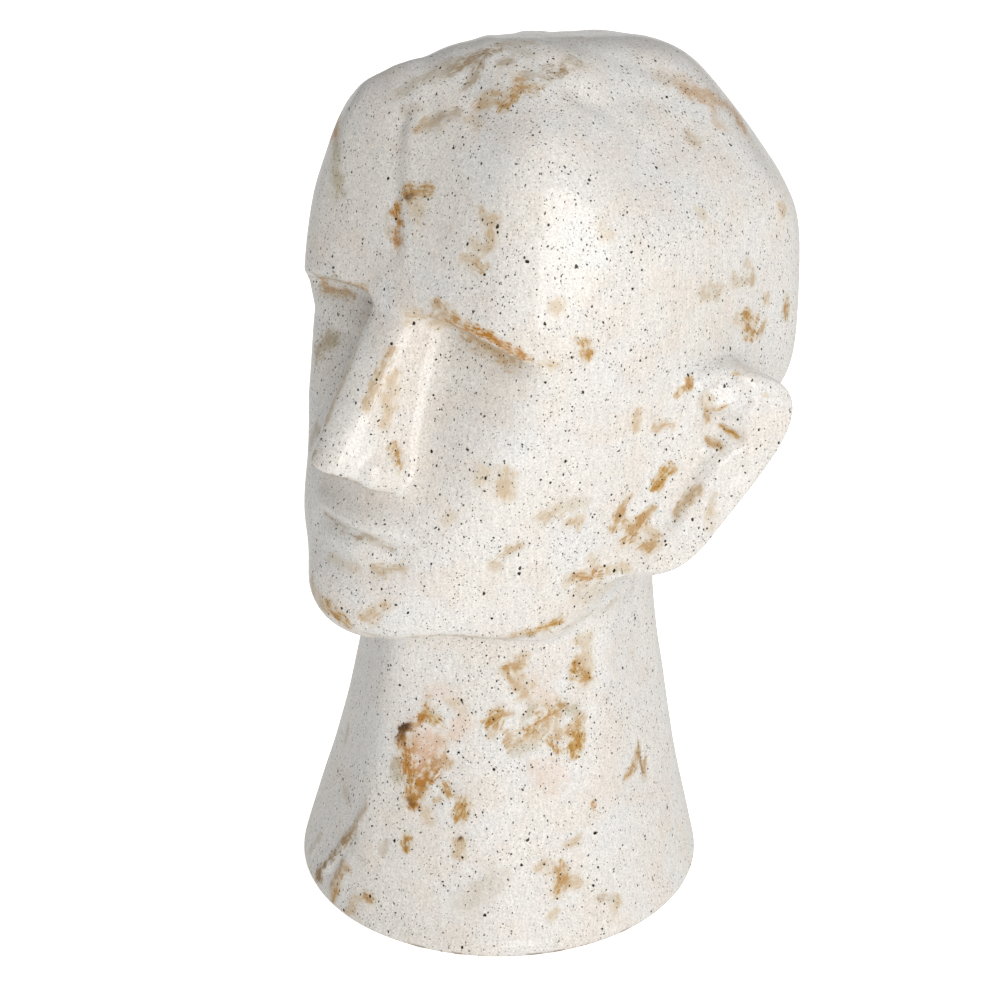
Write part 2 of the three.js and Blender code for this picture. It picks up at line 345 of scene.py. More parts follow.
# Evens out the spacing along the surface and puts each point back on it
def relax(points, firstRow):
    ring = np.concatenate([points[:, -1:], points, points[:, :1]], 1)
    middle = points.copy()
    middle[1:-1] = (ring[1:-1, :-2] + ring[1:-1, 2:] + points[:-2] + points[2:]) / 4
    out = outward(points)
    along = middle - points
    along -= (along * out).sum(-1, keepdims=True) * out
    along[:firstRow] = along[-1] = 0
    moved = points + grid["pull"] * along
    return moved - clayField(moved)[..., None] * outward(moved)


# Where every ray meets the surface, with the spacing evened out
def surfacePoints():
    turns = 2 * np.pi * spread(grid["columns"], grid["closerColumns"], 360)[:-1]
    around = np.stack([np.sin(turns), -np.cos(turns), 0 * turns], -1)
    lowStarts, lowWays = lowRays(around)
    headStarts, headWays = headRays(around)
    starts = np.array(lowStarts + headStarts)[:, None]
    points = surfaceAlong(starts, np.array(lowWays + headWays))
    for _ in range(grid["relaxing"]):
        points = relax(points, grid["underRows"] + grid["relaxFrom"])
    return points


clay = surfacePoints()
print("surface worked out,", clay.shape[0], "rows of", clay.shape[1])

# Hand-worked relief, along the outward direction
relief = {
    "seed": 41,
    "waves": [(46, 1.2), (24, 0.7), (12, 0.3)],  # size, height
    "stretch": 1.5,  # waves are longer up and down than around
    "footFade": (1, 9),  # heights over which the relief comes in
    # streaky dents of the crown, which fade in between two levels upwards and two to the front
    "crownMarks": {
        "seed": 50, "size": (34, 6, 10), "height": 0.75, "turn": 40,
        "up": (72, 96), "front": (-30, 20),
    },
}
lattice = {"size": 32, "shift": 200.5}  # cells before it repeats, and a shift of the whole pattern


# Smooth random values from -1 to 1: a lattice of random numbers one step apart, blended
# between its eight corners by 3 t^2 - 2 t^3
def clayNoise(points, step, seed):
    corners = np.random.default_rng(seed).uniform(-1, 1, [lattice["size"]] * 3)
    q = points / np.asarray(step, float) + lattice["shift"]
    cell = np.floor(q).astype(int)
    t = q - cell
    t = t * t * (3 - 2 * t)
    total = 0
    for corner in np.ndindex(2, 2, 2):
        share = np.prod(np.where(corner, t, 1 - t), axis=-1)
        at = (cell + corner) % lattice["size"]
        total = total + share * corners[at[..., 0], at[..., 1], at[..., 2]]
    return total


# From 0 at low to 1 at high, by 3 t^2 - 2 t^3
def smoothStep(value, low, high):
    t = np.clip((value - low) / (high - low), 0, 1)
    return t * t * (3 - 2 * t)


# Marks left by fingers and tools: picture places of both ends, width, height over the clay
toolMarks = {
    "foreheadCrease": ((397, 128), (394, 250), 5, -0.9),
    "foreheadRidge": ((407, 130), (404, 255), 5, 0.6),
    "neckCrack": ((643, 736), (649, 774), 0.9, -0.8),
    "neckCrackBranch": ((651, 752), (652, 776), 0.9, -0.5),
    "footRidgeLow": ((316, 878), (342, 843), 3.2, 1.1),
    "footRidgeHigh": ((342, 843), (366, 800), 3.0, 0.9),
    "footRidgeLeft": ((309, 852), (322, 828), 2.6, 0.8),
    "footRidgeShort": ((331, 892), (346, 862), 4.0, 0.9),
    "footHollow": ((330, 872), (352, 838), 3.0, -0.7),
    "crownRise": ((425, 80), (488, 46), 15, 2.2),
    "crownDentLeft": ((346, 100), (398, 117), 4, -0.7),
    "crownDentFront": ((404, 118), (470, 110), 5, -0.8),
    "crownFoldHigh": ((548, 62), (580, 92), 5, -0.9),
    "crownFoldLow": ((572, 90), (628, 126), 6, -0.8),
    "crownFoldSide": ((590, 102), (678, 98), 5, -0.7),
    "crownFoldBack": ((612, 58), (676, 74), 5, -0.6),
    "jawCreaseFront": ((362, 637), (524, 642), 2.2, -1.2),
    "jawCreaseSide": ((524, 642), (637, 585), 2.2, -1.0),
    "neckFluteLeft": ((390, 700), (380, 850), 7, -0.8),
    "neckFluteFront": ((520, 790), (540, 900), 9, -0.7),
    "earKnob": ((696, 386), (700, 420), 5, 1.3),
    "earFront": ((707, 400), (713, 438), 2.8, -2.2),
    "earCrease": ((731, 382), (708, 398), 2.6, -2.0),
    "earBead": ((718, 412), (731, 406), 2.6, 1.5),
    "earSlot": ((716, 424), (730, 416), 2.2, -1.8),
    "earSlotHigh": ((733, 409), (745, 405), 2.0, -1.2),
    "earFold": ((721, 432), (738, 441), 2.8, -2.6),
    "earNick": ((712, 442), (719, 449), 2.4, -1.8),
    "earRidge": ((723, 458), (678, 530), 5, 1.6),
    "earValleyFront": ((698, 466), (668, 524), 4.5, -1.6),
    "earValleyBack": ((738, 474), (706, 520), 4.5, -1.5),
}


allPoints = clay.reshape(-1, 3)
out = outward(allPoints)
pictureX, pictureY, pictureDepth = toPicture(allPoints)
facing = (out * (viewEye - allPoints)).sum(-1) > 0
# Pixels: close by, past the closest, and added where the surface faces away
picking = {"close": 3.0, "past": 0.5, "away": 1000.0}


# The point of the surface that the picture shows at a place: the nearest to the eye of those close by
def pick(place):
    off = np.hypot(pictureX - place[0], pictureY - place[1]) + np.where(facing, 0, picking["away"])
    close = np.flatnonzero(off < max(picking["close"], off.min() + picking["past"]))
    return close[np.argmin(pictureDepth[close])]


# Distance of every point from the line between two points
def fromLine(points, start, end):
    line = end - start
    share = np.clip((points - start) @ line / max(line @ line, tiny), 0, 1)
    return np.linalg.norm(points - start - share[:, None] * line, axis=-1)


# Relief: waves of noise, streaky dents on the front of the crown, and each mark as
# height * exp(-(distance / width)^2)
def reliefHeight(points):
    x, y, z = toHead(points)
    slow = points / np.array([1, 1, relief["stretch"]])
    height = np.zeros(len(points))
    for n, (size, high) in enumerate(relief["waves"]):
        height += high * clayNoise(slow, size, relief["seed"] + n)
    marks = relief["crownMarks"]
    t = np.radians(marks["turn"])
    streaked = np.stack([x * np.cos(t) - y * np.sin(t), x * np.sin(t) + y * np.cos(t), z], -1)
    onCrown = smoothStep(z, *marks["up"]) * smoothStep(-y, *marks["front"])
    height += marks["height"] * onCrown * clayNoise(streaked, marks["size"], marks["seed"])
    for start, end, width, high in toolMarks.values():
        distance = fromLine(points, allPoints[pick(start)], allPoints[pick(end)])
        height += high * np.exp(-((distance / width) ** 2))
    return height * smoothStep(points[:, 2], *relief["footFade"])


shaped = allPoints + out * reliefHeight(allPoints)[:, None]
print("relief added")

# Rubbed patches, where the glaze is thin and the brown clay wash shows; the line along the jaw's crease is
# partly painted shade. Each has its tint and
# strokes: picture places of both ends (x, y, x, y), width and strength.
tints = {
    "ochre": (0.57, 0.385, 0.13),
    "rust": (0.56, 0.31, 0.06),
    "dark": (0.05, 0.016, 0.003),
    "brown": (0.38, 0.28, 0.135),
    "tan": (0.56, 0.43, 0.235),
    "olive": (0.38, 0.29, 0.095),
    "pink": (0.76, 0.50, 0.33),
}
rubs = {
    "crownStreaks": ("brown", [
        (455, 70, 492, 55, 5.1, 0.67), (468, 84, 484, 62, 3.8, 0.62), (462, 90, 474, 78, 3, 0.42),
        (446, 74, 455, 66, 4.2, 0.42), (430, 77, 446, 67, 4.2, 0.42), (402, 93, 415, 87, 4.2, 0.37),
        (505, 46, 530, 43, 5.1, 0.42), (512, 50, 528, 55, 4.2, 0.32), (501, 67, 512, 61, 4.2, 0.52),
        (430, 119, 452, 112, 4.2, 0.52), (404, 107, 418, 113, 3.4, 0.27), (571, 60, 578, 66, 3.8, 0.52),
        (552, 70, 565, 66, 4.2, 0.67), (527, 72, 546, 78, 3.4, 0.47)]),
    "crownSpots": ("ochre", [
        (478, 104, 496, 92, 4.5, 0.6), (480, 98, 489, 104, 4, 0.45), (503, 104, 517, 88, 4.5, 0.72),
        (517, 80, 532, 86, 4.5, 0.65), (417, 130, 432, 117, 4, 0.55), (425, 117, 441, 124, 3.5, 0.4),
        (468, 116, 477, 121, 3, 0.35)]),
    "crownEdge": ("rust", [
        (684, 89, 710, 97, 5, 0.55), (700, 95, 728, 104, 5, 0.5), (712, 102, 716, 109, 3.5, 0.4),
        (735, 108, 743, 125, 5, 0.55), (716, 118, 722, 124, 3.5, 0.35), (660, 76, 682, 80, 6, 0.18)]),
    "foreheadFar": ("olive", [
        (336, 148, 336, 190, 5, 0.45), (338, 120, 337, 150, 4, 0.25), (384, 221, 385, 229, 3, 0.35)]),
    "foreheadSpots": ("rust", [(392, 208, 396, 222, 3.6, 0.9), (393, 232, 396, 243, 4, 0.7)]),
    "foreheadWash": ("ochre", [
        (406, 192, 425, 188, 4.5, 0.72), (411, 199, 416, 214, 5, 0.37), (480, 210, 484, 222, 3, 0.47),
        (486, 222, 494, 218, 3, 0.47), (486, 232, 490, 240, 3.5, 0.57), (482, 250, 490, 242, 3, 0.42),
        (470, 246, 476, 250, 4, 0.37), (462, 259, 480, 257, 3, 0.42), (475, 266, 483, 270, 4, 0.67)]),
    "foreheadPit": ("dark", [(405, 197, 410, 195, 1.1, 0.85)]),
    "templeOval": ("ochre", [
        (585, 342, 586, 358, 3.2, 0.8), (555, 305, 560, 308, 4, 0.45), (604, 229, 609, 240, 3, 0.25)]),
    "backOfSide": ("ochre", [
        (741, 320, 745, 323, 4, 0.4), (750, 318, 759, 323, 4, 0.8), (751, 326, 755, 336, 4.5, 0.8),
        (763, 335, 768, 326, 3, 0.6), (770, 298, 771, 304, 3.2, 0.5), (699, 214, 706, 218, 3, 0.35),
        (783, 208, 786, 214, 4, 0.5)]),
    "backOfSideTan": ("tan", [
        (749, 262, 751, 268, 3, 0.5), (737, 281, 752, 279, 4, 0.5), (755, 272, 756, 282, 3, 0.6),
        (706, 296, 719, 293, 5, 0.5), (789, 304, 789, 318, 4, 0.8), (690, 133, 697, 140, 5, 0.5)]),
    "beforeEar": ("ochre", [
        (634, 415, 634, 430, 3, 0.5), (657, 427, 668, 427, 3.6, 0.6), (682, 391, 678, 398, 2, 0.75),
        (688, 383, 691, 389, 2, 0.8), (656, 489, 668, 472, 3.2, 0.9), (670, 466, 674, 472, 2.2, 0.6)]),
    "ear": ("ochre", [
        (704, 404, 712, 408, 3, 0.3), (716, 412, 728, 407, 1.7, 0.6), (708, 416, 712, 427, 2.2, 0.65),
        (723, 432, 736, 440, 1.8, 0.85), (713, 442, 718, 446, 1.8, 0.65), (711, 397, 715, 402, 1.8, 0.4),
        (735, 371, 742, 372, 1.7, 0.5), (712, 512, 716, 518, 2.6, 0.5), (769, 398, 771, 398, 1.7, 0.4)]),
    "earWash": ("tan", [
        (695, 490, 682, 505, 3, 0.6), (682, 505, 672, 515, 3, 0.6), (716, 500, 712, 530, 2.6, 0.4)]),
    "jawCluster": ("ochre", [
        (624, 512, 617, 528, 3.9, 0.72), (629, 500, 621, 512, 2.4, 0.52), (625, 525, 632, 530, 3.7, 0.62),
        (640, 519, 653, 510, 2.8, 0.62), (643, 516, 638, 531, 3.3, 0.77), (625, 543, 635, 537, 3.7, 0.77),
        (650, 532, 655, 536, 2.9, 0.42), (645, 550, 655, 542, 3.7, 0.67), (655, 542, 663, 546, 2.4, 0.42),
        (619, 552, 623, 550, 2.2, 0.32), (610, 572, 623, 568, 3.7, 0.42), (592, 560, 600, 570, 2.8, 0.32),
        (569, 582, 582, 578, 4.6, 0.47), (582, 578, 600, 577, 4.6, 0.77)]),
    "underBrow": ("rust", [
        (428, 316, 452, 322, 2.4, 0.6), (452, 322, 492, 341, 3.2, 0.9), (492, 341, 527, 362, 2.8, 0.75)]),
    "underBrowWash": ("ochre", [(440, 326, 470, 337, 5, 0.45), (466, 336, 512, 362, 5.5, 0.6)]),
    "underBrowFar": ("ochre", [
        (318, 280, 346, 286, 2.4, 0.75), (346, 286, 364, 291, 2.2, 0.6), (322, 287, 352, 295, 3.6, 0.6)]),
    # brown line along the crease under the jaw: partly a brown glaze line, partly painted shade where the
    # crease lies in shadow
    "jawCreaseBrownLineAndPaintedShade": ("brown", [
        (362, 636, 410, 640, 1.7, 0.4), (410, 640, 455, 640, 1.7, 0.55), (455, 640, 524, 642, 1.7, 0.5),
        (524, 642, 569, 630, 1.7, 0.4), (569, 630, 615, 603, 1.7, 0.35), (615, 603, 637, 585, 1.7, 0.3)]),
    "jawCore": ("rust", [
        (592, 580, 599, 575, 3.6, 0.7), (619, 524, 623, 516, 2, 0.5), (628, 541, 633, 538, 2, 0.5)]),
    "jawWash": ("tan", [
        (585, 597, 606, 590, 7, 0.35), (545, 519, 560, 510, 4.5, 0.5), (562, 508, 582, 506, 4, 0.35),
        (495, 566, 500, 568, 4, 0.5), (508, 556, 519, 547, 3, 0.6)]),
    "cheek": ("ochre", [
        (480, 482, 484, 476, 4.5, 0.35), (502, 494, 508, 476, 5, 0.5), (445, 520, 449, 516, 3.4, 0.3),
        (571, 525, 576, 523, 3.6, 0.55), (579, 524, 582, 530, 2.4, 0.5)]),
    "jawStreak": ("ochre", [(513, 637, 540, 632, 3, 0.6), (530, 634, 563, 622, 3.2, 0.9)]),
    "underJaw": ("ochre", [
        (506, 672, 516, 669, 4.5, 0.75), (514, 669, 527, 662, 3, 0.5), (516, 684, 520, 679, 3.2, 0.6),
        (521, 680, 533, 686, 3, 0.5), (532, 687, 521, 695, 3.6, 0.6), (578, 672, 586, 676, 4.5, 0.85),
        (582, 660, 590, 661, 3, 0.4), (584, 643, 588, 646, 3, 0.4), (578, 640, 590, 635, 2, 0.5)]),
    "neckPatchDark": ("dark", [
        (398, 737, 404, 729, 3.2, 1.0), (400, 731, 406, 727, 2.4, 1.0), (407, 802, 411, 805, 2.2, 0.9)]),
    "neckPatchRust": ("rust", [
        (404, 734, 407, 752, 3.2, 0.8), (407, 755, 407, 772, 4.4, 0.94), (398, 738, 398, 748, 3, 0.7),
        (417, 783, 430, 768, 5, 0.85), (419, 720, 424, 709, 3.4, 0.85), (409, 796, 412, 806, 4.2, 0.9)]),
    "neckPatchOchre": ("ochre", [
        (424, 714, 435, 723, 4.2, 0.86), (416, 722, 405, 730, 2.1, 0.66), (408, 770, 408, 795, 4.2, 0.81),
        (426, 770, 441, 760, 5.2, 0.66), (440, 744, 443, 764, 4.2, 0.61), (430, 738, 440, 741, 3.2, 0.46),
        (427, 789, 414, 797, 3.2, 0.56), (404, 738, 408, 752, 5.2, 0.76)]),
    "neckPatchPink": ("pink", [
        (414, 732, 434, 746, 8, 0.45), (414, 752, 436, 744, 7, 0.6), (414, 768, 434, 754, 7, 0.65),
        (528, 690, 545, 700, 7, 0.25), (538, 772, 552, 778, 8, 0.3), (428, 690, 440, 692, 5, 0.2),
        (455, 732, 463, 722, 5, 0.35)]),
    "neckPatchSide": ("olive", [(393, 764, 396, 780, 4, 0.45), (390, 768, 393, 764, 2, 0.5)]),
    "neckSpots": ("ochre", [
        (450, 705, 458, 704, 3.2, 0.4), (458, 705, 463, 714, 3.2, 0.3), (443, 787, 446, 795, 4.2, 0.75),
        (433, 800, 436, 802, 2.4, 0.6), (424, 812, 426, 820, 3.6, 0.4), (456, 816, 463, 805, 4.4, 0.8),
        (404, 842, 406, 849, 3.8, 0.95), (403, 832, 406, 838, 2.6, 0.4), (458, 843, 459, 856, 3.8, 0.5)]),
    "neckSpotsDark": ("dark", [(403, 843, 405, 847, 1.9, 0.7), (458, 839, 461, 838, 1.3, 0.9)]),
    "stripes": ("ochre", [
        (492, 724, 500, 712, 4.4, 0.84), (499, 712, 510, 714, 2.8, 0.54), (489, 736, 495, 730, 3, 0.44),
        (512, 748, 541, 725, 4.2, 0.64), (530, 733, 563, 703, 3.6, 0.79), (534, 711, 546, 702, 3, 0.64),
        (514, 738, 521, 731, 4, 0.54), (540, 740, 548, 727, 3, 0.49), (555, 737, 557, 720, 4, 0.49),
        (552, 738, 558, 750, 4, 0.74), (572, 735, 583, 720, 3.4, 0.64), (573, 748, 580, 736, 4.4, 0.94)]),
    "stripesWash": ("olive", [
        (526, 719, 537, 706, 3.4, 0.45), (515, 749, 529, 750, 4.4, 0.35), (563, 704, 576, 711, 4, 0.45),
        (545, 728, 549, 733, 3, 0.4)]),
    "neckRight": ("ochre", [
        (643, 750, 646, 762, 2.8, 0.8), (650, 757, 650, 776, 2.6, 0.65), (631, 774, 638, 763, 3, 0.7),
        (640, 755, 642, 760, 3, 0.5)]),
    "neckRightCrack": ("brown", [(643, 740, 645, 756, 1.8, 0.8), (647, 760, 649, 772, 1.8, 0.8)]),
    "baseSpots": ("ochre", [
        (563, 866, 564, 878, 4.4, 0.75), (560, 879, 557, 894, 3, 0.8), (563, 887, 576, 882, 4, 0.5),
        (553, 874, 562, 868, 4, 0.35), (567, 846, 579, 838, 2.6, 0.5), (541, 869, 544, 866, 2.8, 0.5),
        (552, 917, 560, 912, 2.4, 0.4), (617, 902, 620, 904, 3, 0.5), (615, 910, 617, 915, 3.4, 0.4)]),
    "baseWash": ("brown", [
        (602, 898, 616, 896, 2.4, 0.5), (480, 886, 505, 877, 5, 0.22), (468, 902, 496, 882, 7, 0.16)]),
    "footStreak": ("brown", [
        (316, 877, 322, 867, 3.6, 0.8), (322, 867, 342, 843, 2.6, 0.75), (342, 843, 351, 831, 3, 0.7),
        (351, 829, 366, 801, 2.4, 0.5), (310, 850, 321, 834, 2.4, 0.35), (378, 852, 383, 841, 2.6, 0.35),
        (346, 731, 343, 742, 3, 0.4), (342, 790, 346, 800, 3.4, 0.3)]),
    "footSpots": ("ochre", [
        (331, 898, 337, 884, 3.8, 0.75), (333, 882, 340, 872, 3.8, 0.65), (342, 862, 348, 869, 3, 0.6),
        (350, 901, 357, 896, 3, 0.5), (364, 898, 369, 899, 3.4, 0.7), (344, 911, 351, 908, 2.6, 0.5)]),
    "reddish": ("rust", [(593, 804, 595, 808, 1.6, 0.6)]),
}

# Rubbed places of the face, by its own form: places in the head's frame (x, y, z, x, y, z)
faceRubs = {
    "browNear": ("rust", [
        (22, -93, 17, 38, -90, 18, 3.2, 0.9), (36, -90, 18, 50, -85, 17, 3.4, 0.95),
        (48, -86, 17, 60, -78, 14, 2.8, 0.7)]),
    "browNearWash": ("ochre", [
        (12, -94, 15, 26, -92, 16, 4, 0.55), (30, -86, 12, 52, -80, 11, 6, 0.45),
        (56, -82, 15, 68, -72, 11, 3, 0.6), (26, -95, 25, 34, -95, 22, 4, 0.6)]),
    "browFar": ("olive", [
        (-14, -92, 16, -32, -90, 18, 4, 0.85), (-20, -86, 13, -40, -84, 12, 5, 0.8),
        (-36, -90, 18, -52, -84, 16, 3.4, 0.5)]),
    "noseEdge": ("tan", [(10, -102, 2, 9, -112, -20, 3.4, 0.6), (-10, -104, -4, -8, -118, -30, 3, 0.5)]),
    "noseSide": ("ochre", [
        (13, -100, -8, 14, -104, -26, 4, 0.45), (17, -100, -38, 19, -98, -46, 2.6, 0.75)]),
    "noseUnder": ("brown", [
        (-8, -124, -54, 7, -122, -55, 2.6, 0.65), (9, -118, -54, 15, -104, -56, 2.4, 0.6),
        (-8, -126, -42, -9, -124, -52, 2.4, 0.6)]),
    "mouth": ("brown", [(-18, -100, -79, 6, -104, -79, 2, 0.6), (8, -103, -79, 20, -97, -80, 2.2, 0.5)]),
    "mouthWash": ("tan", [(14, -98, -92, 24, -92, -88, 4, 0.55), (-10, -104, -93, 6, -104, -94, 3, 0.35)]),
    "chin": ("ochre", [
        (-6, -104, -114, 2, -103, -119, 4.5, 0.9), (-18, -100, -110, -10, -102, -115, 5, 0.5),
        (12, -98, -112, 18, -94, -106, 4.5, 0.55)]),
    "chinCore": ("rust", [(-5, -104, -115, -1, -103, -118, 3, 0.8)]),
    "farCheek": ("olive", [
        (-44, -84, -12, -54, -80, -22, 5, 0.55), (-40, -84, -52, -46, -82, -62, 4.5, 0.4)]),
}


# Nearest surface point to a place
def nearest(place):
    return np.argmin(((allPoints - place) ** 2).sum(-1))


# Seeded patches for the sides that the picture doesn't show: clusters of short strokes that
# share a direction
hidden = {
    "seed": 7, "clusters": 42,
    "turns": (148, 300), "heights": (14, 362), "lowest": 8,
    "radius": 80,  # millimetres that a turn is worth
    "slants": (20, 130), "slantSpread": 14,
    "tints": ["ochre", "ochre", "tan", "brown", "rust", "olive"],
    "strokes": (1, 6),  # from 1 to 5 in a cluster
    "scatter": 5, "lengths": (2, 11), "widths": (2.2, 5), "strengths": (0.3, 0.85),
}


def hiddenStrokes():
    rng = np.random.default_rng(hidden["seed"])
    turn = np.degrees(np.arctan2(allPoints[:, 0], -allPoints[:, 1])) % 360
    made = []
    for _ in range(hidden["clusters"]):
        at = rng.uniform(*hidden["turns"])
        height = rng.uniform(*hidden["heights"])
        gap = (np.radians(turn - at) * hidden["radius"]) ** 2 + (allPoints[:, 2] - height) ** 2
        middle = allPoints[np.argmin(np.where(allPoints[:, 2] > hidden["lowest"], gap, np.inf))]
        slant = rng.uniform(*hidden["slants"])
        tint = rng.choice(hidden["tints"])
        for _ in range(rng.integers(*hidden["strokes"])):
            normal = out[nearest(middle)]
            east = np.cross([0, 0, 1.0], normal)
            east /= np.linalg.norm(east) + tiny
            north = np.cross(normal, east)
            s = np.radians(slant + rng.normal(0, hidden["slantSpread"]))
            way = east * np.cos(s) + north * np.sin(s)
            aside = rng.normal(0, hidden["scatter"])
            upward = rng.normal(0, hidden["scatter"])
            start = middle + east * aside + north * upward
            end = start + way * rng.uniform(*hidden["lengths"])
            width = rng.uniform(*hidden["widths"])
            strong = rng.uniform(*hidden["strengths"])
            made.append((tint, nearest(start), nearest(end), width, strong))
    return made


# Every stroke: tint, the surface points of both ends, width and strength
def allStrokes():
    made = []
    for tint, strokes in rubs.values():
        for *ends, width, strength in strokes:
            made.append((tint, pick(ends[:2]), pick(ends[2:]), width, strength))
    for tint, strokes in faceRubs.values():
        for *ends, width, strength in strokes:
            first, last = nearest(fromHead(*ends[:3])), nearest(fromHead(*ends[3:]))
            made.append((tint, first, last, width, strength))
    return made + hiddenStrokes()


# How a stroke lies on the clay
rubbing = {
    "reach": 1.25, "thinnest": 1.7,  # it reaches past its width, and none is thinner than this
    "wobble": 1.5, "wobbleSize": 4.5, "wobbleSeed": 77, "wholeWobble": 4.0,  # thinner ones wobble less
    "wrap": -0.2,  # how far it goes round an edge, as a cosine
    "margin": 2.0,  # added to the box of points that a stroke may reach
    "trace": 1e-6,  # weight of the tint where nothing is painted
}


# Paint of all strokes. A stroke's cover falls from 1 on its line to 0 at its width from it, the
# strongest one sets the stroke's own coordinates (across, along), and the tints are mixed by
# (cover * strength) squared
def paint():
    count = len(allPoints)
    cover = np.zeros(count)
    strength = np.zeros(count)
    best = np.zeros(count)
    weights = np.full(count, rubbing["trace"])
    colour = np.tile(np.array(tints["ochre"]) * rubbing["trace"], (count, 1))
    along = allPoints.copy()
    wobble = rubbing["wobble"] * clayNoise(allPoints, rubbing["wobbleSize"], rubbing["wobbleSeed"])
    for tint, first, last, width, strong in allStrokes():
        start, end = allPoints[first], allPoints[last]
        reach = rubbing["reach"] * max(width, rubbing["thinnest"])
        limit = np.linalg.norm(end - start) / 2 + reach + rubbing["margin"]
        near = np.flatnonzero(np.abs(allPoints - (start + end) / 2).max(-1) < limit)
        p = allPoints[near]
        uneven = wobble[near] * min(1.0, width / rubbing["wholeWobble"])
        here = np.clip(1 - (fromLine(p, start, end) + uneven) / reach, 0, 1)
        here *= (out[near] @ out[first]) > rubbing["wrap"]
        weight = (here * strong) ** 2
        colour[near] += weight[:, None] * np.array(tints[tint])
        weights[near] += weight
        cover[near] = np.maximum(cover[near], here)
        strength[near] += weight * strong
        way = (end - start) / (np.linalg.norm(end - start) + tiny)
        across = np.cross(out[first], way)
        winner = here * strong > best[near]
        best[near] = np.where(winner, here * strong, best[near])
        own = np.stack([(p - start) @ across, (p - start) @ way, (p - start) @ out[first]], -1)
        along[near] = np.where(winner[:, None], own, along[near])
    return cover, strength / weights, colour / weights[:, None], along


cover, strength, tint, stroke = paint()
print("rubbed patches painted on", int((cover > 0).sum()), "points")


# Closed mesh of a grid of points: quads between the rows, a fan at each pole, in metres
def gridMesh(name, rows, columns, points):
    body = np.arange((rows - 2) * columns).reshape(rows - 2, columns) + 1
    last = (rows - 2) * columns + 1
    low, high = body[:-1], body[1:]
    quads = np.stack([low, np.roll(low, -1, 1), np.roll(high, -1, 1), high], -1).reshape(-1, 4)
    under = np.stack([np.zeros(columns, int), np.roll(body[0], -1), body[0]], -1)
    over = np.stack([np.full(columns, last), body[-1], np.roll(body[-1], -1)], -1)
    mesh = bpy.data.meshes.new(name)
    mesh.from_pydata(points / metre, [], under.tolist() + quads.tolist() + over.tolist())
    mesh.polygons.foreach_set("use_smooth", np.ones(len(mesh.polygons), bool))
    mesh.update()
    return mesh


# One value for each vertex: the two poles keep one of their row's equal points
def forVertices(values):
    columns = grid["columns"]
    return np.concatenate([values[:1], values[columns:-columns], values[-1:]])


# Stores one value for each vertex under a name
def addAttribute(mesh, name, kind, values):
    key = {"FLOAT": "value", "FLOAT_VECTOR": "vector", "FLOAT_COLOR": "color"}[kind]
    layer = mesh.attributes.new(name, kind, "POINT")
    layer.data.foreach_set(key, np.ascontiguousarray(values, np.float32).ravel())


opaqueTint = np.column_stack([tint, np.ones(len(tint))])
sculptureMesh = gridMesh("headSculpture", clay.shape[0], clay.shape[1], forVertices(shaped))
# the rubbed-patch values also carry the painted shade of the line along the jaw's crease
addAttribute(sculptureMesh, "rubCover", "FLOAT", forVertices(cover))
addAttribute(sculptureMesh, "rubStrength", "FLOAT", forVertices(strength))
addAttribute(sculptureMesh, "rubTint", "FLOAT_COLOR", forVertices(opaqueTint))
addAttribute(sculptureMesh, "strokePlace", "FLOAT_VECTOR", forVertices(stroke))
sculpture = bpy.data.objects.new("headSculpture", sculptureMesh)
bpy.context.scene.collection.objects.link(sculpture)
print("sculpture made,", len(sculptureMesh.vertices), "vertices")


# Adds a node, sets its options and fills or links its inputs
def addNode(tree, kind, inputs=None, **options):
    node = tree.nodes.new(kind)
    for key, value in options.items():
        setattr(node, key, value)
    for key, value in (inputs or {}).items():
        if isinstance(value, bpy.types.NodeSocket):
            tree.links.new(value, node.inputs[key])
        else:
            node.inputs[key].default_value = value
    return node


def maths(tree, operation, a, b=0.0, clamp=False):
    return addNode(tree, "ShaderNodeMath", {0: a, 1: b}, operation=operation, use_clamp=clamp).outputs[0]


def vectorMaths(tree, operation, a, b):
    return addNode(tree, "ShaderNodeVectorMath", {0: a, 1: b}, operation=operation).outputs[0]


# From one range to another, smooth at its ends where nothing else is said
def mapRange(tree, value, low, high, toLow=0.0, toHigh=1.0, smooth=True):
    inputs = {"Value": value, "From Min": low, "From Max": high, "To Min": toLow, "To Max": toHigh}
    kind = "SMOOTHSTEP" if smooth else "LINEAR"
    return addNode(tree, "ShaderNodeMapRange", inputs, interpolation_type=kind).outputs[0]


# Straight from one value, where the input is 0, to another, where it is 1
def between(tree, value, atZero, atOne):
    return mapRange(tree, value, 0.0, 1.0, atZero, atOne, smooth=False)


# Mixes two colours, each a socket or three values
def mixColour(tree, factor, a, b):
    inputs = {0: factor}
    for place, colour in ((6, a), (7, b)):
        inputs[place] = colour if isinstance(colour, bpy.types.NodeSocket) else (*colour, 1.0)
    return addNode(tree, "ShaderNodeMix", inputs, data_type="RGBA").outputs[2]


# Noise with its coordinates in metres and its size in millimetres
def noise(tree, vector, size, detail, roughness, output="Fac"):
    inputs = {"Vector": vector, "Scale": metre / size, "Detail": detail, "Roughness": roughness}
    return addNode(tree, "ShaderNodeTexNoise", inputs).outputs[output]


# Node group with inputs (name, kind, value) and outputs (name, kind)
def newGroup(name, inputs, outputs):
    tree = bpy.data.node_groups.new(name, "ShaderNodeTree")
    for label, kind, value in inputs:
        socket = tree.interface.new_socket(name=label, in_out="INPUT", socket_type=kind)
        if kind == "NodeSocketFloat":
            socket.default_value = value
    for label, kind in outputs:
        tree.interface.new_socket(name=label, in_out="OUTPUT", socket_type=kind)
    return tree, tree.nodes.new("NodeGroupInput").outputs, tree.nodes.new("NodeGroupOutput").inputs


speckGrowth = (0.45, 1.35)  # smallest and largest speck of a layer, times its Size
speckEdge = 0.18  # share of a speck's reach over which it fades


